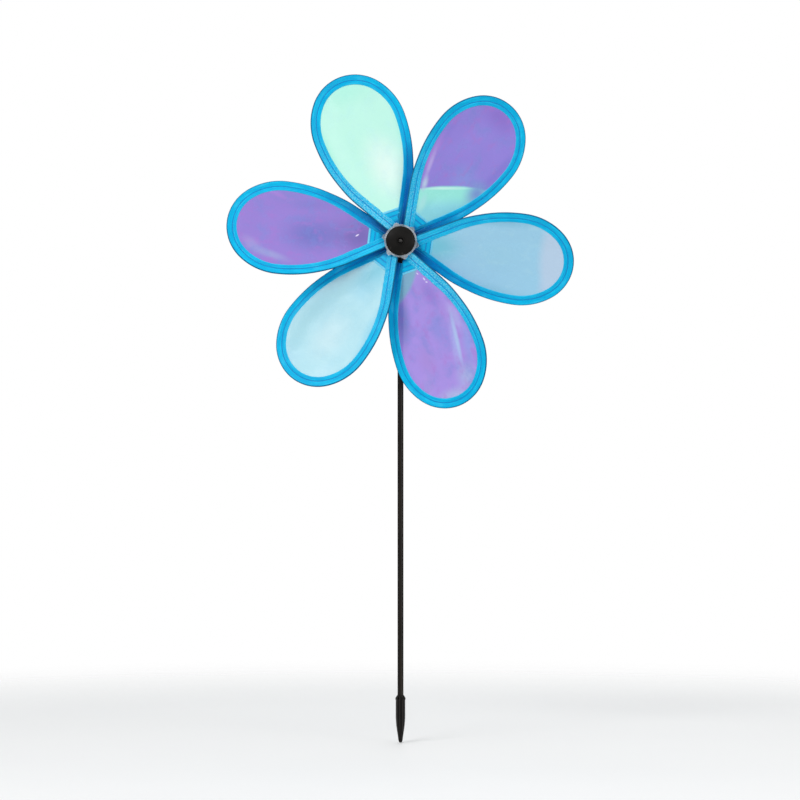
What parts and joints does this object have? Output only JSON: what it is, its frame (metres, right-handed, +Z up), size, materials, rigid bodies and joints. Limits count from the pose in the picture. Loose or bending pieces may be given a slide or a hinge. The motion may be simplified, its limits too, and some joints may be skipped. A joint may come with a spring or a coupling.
{
  "type": "whirligig",
  "caption": "Garden whirligig: iridescent film petals with stitched blue tape edges on a clear hub that spins on a slim black stake with a push-in ground spike.",
  "frame": {"origin": "on the stake's axis at the ground line, where the ground spike's straight barrel begins under its collar", "axes": "+Z up along the stake, the flower faces -Y, +X to the right as seen from the front"},
  "size_m": [0.382, 0.0539, 0.7377],
  "materials": {
    "spring_wire": "drawn spring wire",
    "blue_tape": "smooth translucent coated tape, stitched",
    "clear_plastic": "clear moulded plastic",
    "black_plastic": "satin black moulded plastic",
    "pin_steel": "darkened steel pin",
    "nylon": "natural nylon",
    "rod_finish": "satin black fibreglass rod with fine scuffs",
    "spike_plastic": "black moulded plastic",
    "film_1": "thin iridescent film, colour shifts over the panel",
    "film_2": "thin iridescent film, colour shifts over the panel",
    "film_3": "thin iridescent film, colour shifts over the panel",
    "film_4": "thin iridescent film, colour shifts over the panel",
    "film_5": "thin iridescent film, colour shifts over the panel",
    "film_6": "thin iridescent film, colour shifts over the panel"
  },
  "bodies": {
    "stake": {"stake_rod": "rod_finish", "ground_spike": "spike_plastic", "mast_head": "black_plastic", "rear_washer": "nylon", "axle_pin": "pin_steel"},
    "rotor": {"petal_1_wire": "spring_wire", "petal_1_film": "film_1", "petal_1_binding": "blue_tape", "petal_1_hem": "blue_tape", "petal_2_wire": "spring_wire", "petal_2_film": "film_2", "petal_2_binding": "blue_tape", "petal_2_hem": "blue_tape", "petal_3_wire": "spring_wire", "petal_3_film": "film_3", "petal_3_binding": "blue_tape", "petal_3_hem": "blue_tape", "petal_4_wire": "spring_wire", "petal_4_film": "film_4", "petal_4_binding": "blue_tape", "petal_4_hem": "blue_tape", "petal_5_wire": "spring_wire", "petal_5_film": "film_5", "petal_5_binding": "blue_tape", "petal_5_hem": "blue_tape", "petal_6_wire": "spring_wire", "petal_6_film": "film_6", "petal_6_binding": "blue_tape", "petal_6_hem": "blue_tape", "hub_body": "clear_plastic", "front_cap": "black_plastic"}
  },
  "joints": [
    {"name": "rotor_spin", "type": "hinge", "parent": "stake", "child": "rotor", "pos_m": [0, -0.027, 0.507], "axis": [0, -1, 0], "continuous": true}
  ]
}
